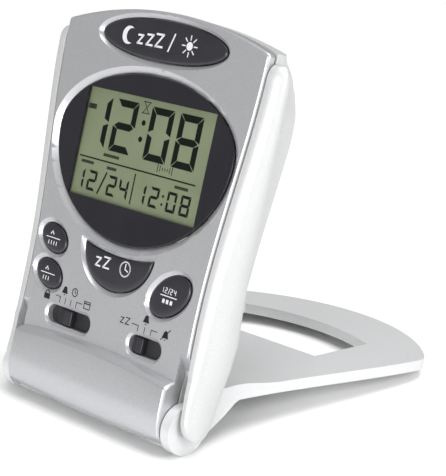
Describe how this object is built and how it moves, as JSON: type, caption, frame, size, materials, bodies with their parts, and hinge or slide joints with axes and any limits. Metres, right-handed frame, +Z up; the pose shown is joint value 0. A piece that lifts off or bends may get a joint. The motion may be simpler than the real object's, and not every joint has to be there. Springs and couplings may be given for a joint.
{
  "type": "travel alarm clock",
  "caption": "Folding digital travel alarm clock standing open: its windowed cover is folded round behind it as the stand.",
  "frame": {"origin": "middle of the footprint, at table height", "axes": "+Z up, the display faces -Y, +X is to the right of someone reading the display, the stand reaches towards +Y"},
  "size_m": [0.081, 0.104, 0.0989],
  "materials": {
    "silver_case": "satin silver-painted ABS with a fine sparkle",
    "pale_rail": "smooth bright silver-painted ABS",
    "smoked_lens": "polished smoked acrylic",
    "lcd_glass": "reflective olive display with black segments",
    "white_plastic": "moulded white plastic",
    "amber_led": "clear amber resin",
    "grey_silicone": "matt moulded silicone",
    "green_board": "green solder mask over fibreglass",
    "black_epoxy": "black resin drop",
    "dark_plastic": "dark charcoal plastic, slightly glossy",
    "brass": "thin brass sheet",
    "nickel": "nickel-plated spring steel",
    "steel": "zinc-plated steel",
    "battery_label": "plain blue sleeve on a metal can",
    "red_wire": "red PVC insulation",
    "black_wire": "black PVC insulation"
  },
  "bodies": {
    "case": {"front_shell": "silver_case", "back_shell": "silver_case", "side_rail_left": "pale_rail", "side_rail_right": "pale_rail", "lens": "smoked_lens", "lcd_panel": "lcd_glass", "lcd_frame": "white_plastic", "light_guide": "white_plastic", "backlight_led": "amber_led", "zebra_strip": "grey_silicone", "circuit_board": "green_board", "chip_blob": "black_epoxy", "quartz_crystal": "steel", "buzzer_disc": "brass", "keypad": "grey_silicone", "snooze_pad": "grey_silicone", "battery_lower": "battery_label", "battery_upper": "battery_label", "contact_positive": "nickel", "contact_negative": "nickel", "contact_link": "nickel", "spring_negative": "nickel", "spring_link": "nickel", "wire_buzzer_red": "red_wire", "wire_buzzer_black": "black_wire", "wire_battery_red": "red_wire", "wire_battery_black": "black_wire", "case_screw_1": "steel", "case_screw_2": "steel", "case_screw_3": "steel", "case_screw_4": "steel", "board_screw_1": "steel", "board_screw_2": "steel", "board_screw_3": "steel", "hinge_pin_left": "steel", "hinge_pin_right": "steel"},
    "snooze_key": {"snooze_button": "dark_plastic"},
    "nap_key": {"nap_button": "dark_plastic"},
    "hour_key": {"hour_button": "dark_plastic"},
    "minute_key": {"minute_button": "dark_plastic"},
    "year_key": {"year_button": "dark_plastic"},
    "cover_body": {"cover": "silver_case"},
    "mode_switch": {"mode_slider": "dark_plastic", "mode_wiper": "brass"},
    "alarm_switch": {"alarm_slider": "dark_plastic", "alarm_wiper": "brass"},
    "door": {"battery_door": "silver_case"}
  },
  "joints": [
    {"name": "cover_hinge", "type": "hinge", "parent": "case", "child": "cover_body", "pos_m": [0, -0.0451, 0.0062], "axis": [1, 0, 0], "range_deg": [-280.7, 0]},
    {"name": "snooze_press", "type": "slide", "parent": "case", "child": "snooze_key", "axis": [0, 0.9542, -0.299], "range_m": [0, 0.0005], "stiffness_N_per_m": 400},
    {"name": "nap_press", "type": "slide", "parent": "case", "child": "nap_key", "axis": [0, 0.9542, -0.299], "range_m": [0, 0.0005], "stiffness_N_per_m": 400},
    {"name": "hour_press", "type": "slide", "parent": "case", "child": "hour_key", "axis": [0, 0.9542, -0.299], "range_m": [0, 0.0005], "stiffness_N_per_m": 400},
    {"name": "minute_press", "type": "slide", "parent": "case", "child": "minute_key", "axis": [0, 0.9542, -0.299], "range_m": [0, 0.0005], "stiffness_N_per_m": 400},
    {"name": "year_press", "type": "slide", "parent": "case", "child": "year_key", "axis": [0, 0.9542, -0.299], "range_m": [0, 0.0005], "stiffness_N_per_m": 400},
    {"name": "mode_slide", "type": "slide", "parent": "case", "child": "mode_switch", "axis": [1, 0, 0], "range_m": [-0.003, 0.006]},
    {"name": "alarm_slide", "type": "slide", "parent": "case", "child": "alarm_switch", "axis": [1, 0, 0], "range_m": [0, 0.005]},
    {"name": "battery_door_hinge", "type": "hinge", "parent": "case", "child": "door", "pos_m": [0, -0.02064, 0.03542], "axis": [1, 0, 0], "range_deg": [-40, 0]}
  ]
}
